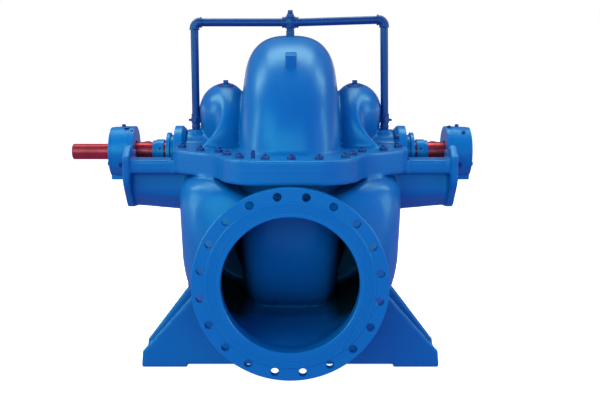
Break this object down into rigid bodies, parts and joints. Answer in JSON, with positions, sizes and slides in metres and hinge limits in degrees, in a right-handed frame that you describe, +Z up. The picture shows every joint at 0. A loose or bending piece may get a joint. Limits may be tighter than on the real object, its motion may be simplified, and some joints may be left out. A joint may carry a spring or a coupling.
{
  "type": "double suction pump",
  "caption": "Horizontal double suction pump with an axially split casing, side nozzles, feet, bearing brackets, seal flush piping and a bare shaft end.",
  "frame": {"origin": "middle of the base, on the floor plane of the feet pads", "axes": "+X along the shaft away from its bare end, -Y towards the suction nozzle, +Z up"},
  "size_m": [1.978, 1.6, 1.653],
  "materials": {
    "casing_paint": "satin blue paint on cast iron",
    "housing_paint": "satin blue paint on machined castings",
    "pipe_paint": "darker satin blue paint on pipes and fittings",
    "shaft_steel": "turned shaft with a red-brown rust preventing coat"
  },
  "bodies": {
    "casing": {"bearing_bracket_left": "casing_paint", "bearing_bracket_right": "casing_paint", "bearing_housing_left": "housing_paint", "bearing_housing_right": "housing_paint", "bearing_inner_cover_left": "housing_paint", "bearing_inner_cover_right": "housing_paint", "bearing_outer_cover_left": "housing_paint", "bearing_outer_cover_right": "housing_paint", "discharge_nozzle": "casing_paint", "dome_nipple": "pipe_paint", "flush_elbow_left": "pipe_paint", "flush_elbow_right": "pipe_paint", "flush_nipple_left": "pipe_paint", "flush_nipple_right": "pipe_paint", "flush_riser_left": "pipe_paint", "flush_riser_right": "pipe_paint", "flush_run_left": "pipe_paint", "flush_run_right": "pipe_paint", "flush_union_left": "pipe_paint", "flush_union_right": "pipe_paint", "foot_front": "casing_paint", "foot_rear": "casing_paint", "gland_left": "housing_paint", "gland_right": "housing_paint", "hood_plug_left": "pipe_paint", "hood_plug_right": "pipe_paint", "lower_casing": "casing_paint", "pipe_cross": "pipe_paint", "seal_flange_left": "housing_paint", "seal_flange_right": "housing_paint", "suction_nozzle": "casing_paint", "upper_casing": "casing_paint", "vent_plug": "pipe_paint"},
    "rotor": {"shaft": "shaft_steel", "shaft_collar_left": "housing_paint", "shaft_collar_right": "housing_paint"}
  },
  "joints": [
    {"name": "shaft_spin", "type": "hinge", "parent": "casing", "child": "rotor", "pos_m": [0, 0, 0.962], "axis": [1, 0, 0], "continuous": true}
  ]
}
